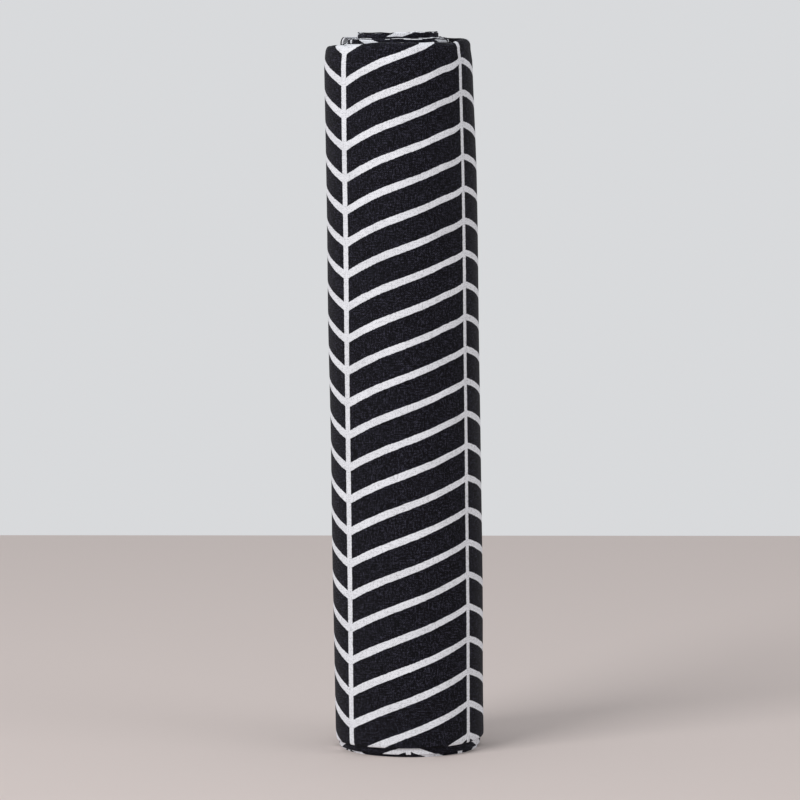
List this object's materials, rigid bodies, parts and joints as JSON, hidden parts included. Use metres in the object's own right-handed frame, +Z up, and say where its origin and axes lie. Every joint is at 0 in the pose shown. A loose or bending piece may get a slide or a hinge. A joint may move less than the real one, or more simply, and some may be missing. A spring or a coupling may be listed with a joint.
{
  "type": "baby wrap sling",
  "caption": "Long woven baby carrier wrap with a black and white herringbone print, folded to half its width and wound into a standing roll with a tail that peels off and a core that slides up.",
  "frame": {"origin": "middle of the base plane that the roll stands on", "axes": "+Z up along the roll, -Y towards the front, +X to the right seen from the front"},
  "size_m": [0.0754, 0.0832, 0.3606],
  "materials": {
    "printed_cloth": "matt thin weave with an off-white herringbone print",
    "overlock_thread": "black overlock seam",
    "sewing_thread": "black sewing thread",
    "tape": "white woven tape, bare"
  },
  "bodies": {
    "roll": {"outer_turn": "printed_cloth", "upper_rail_overlock": "overlock_thread", "lower_rail_overlock": "overlock_thread", "second_turn": "printed_cloth", "third_turn": "printed_cloth", "middle_turns": "printed_cloth", "inner_turns": "printed_cloth", "upper_middle_marker": "tape", "lower_middle_marker": "tape", "marker_stitching": "sewing_thread"},
    "core": {"core_turns": "printed_cloth", "core_end_hem": "printed_cloth", "core_end_stitching": "sewing_thread"},
    "tail_root_panel": {"tail_root": "printed_cloth", "tail_root_overlock": "overlock_thread"},
    "tail_middle_panel": {"tail_middle": "printed_cloth", "tail_middle_overlock": "overlock_thread"},
    "tail_end_panel": {"tail_end": "printed_cloth", "tail_end_overlock": "overlock_thread", "tail_end_hem": "printed_cloth", "tail_end_stitching": "sewing_thread", "care_label": "tape", "label_stitching": "sewing_thread"}
  },
  "joints": [
    {"name": "core_slide", "type": "slide", "parent": "roll", "child": "core", "axis": [0, 0, 1], "range_m": [-0.008, 0.04]},
    {"name": "tail_root_bend", "type": "hinge", "parent": "roll", "child": "tail_root_panel", "pos_m": [0.0349, 0.0155, 0], "axis": [0, 0, -1], "range_deg": [0, 30]},
    {"name": "tail_middle_bend", "type": "hinge", "parent": "tail_root_panel", "child": "tail_middle_panel", "pos_m": [0.01878, 0.03581, 0], "axis": [0, 0, -1], "range_deg": [0, 30]},
    {"name": "tail_end_bend", "type": "hinge", "parent": "tail_middle_panel", "child": "tail_end_panel", "pos_m": [-0.00545, 0.04124, 0], "axis": [0, 0, -1], "range_deg": [0, 30]}
  ],
  "couplings": [
    {"joint": "tail_middle_bend", "follows": "tail_root_bend", "ratio": 1},
    {"joint": "tail_end_bend", "follows": "tail_root_bend", "ratio": 1}
  ]
}
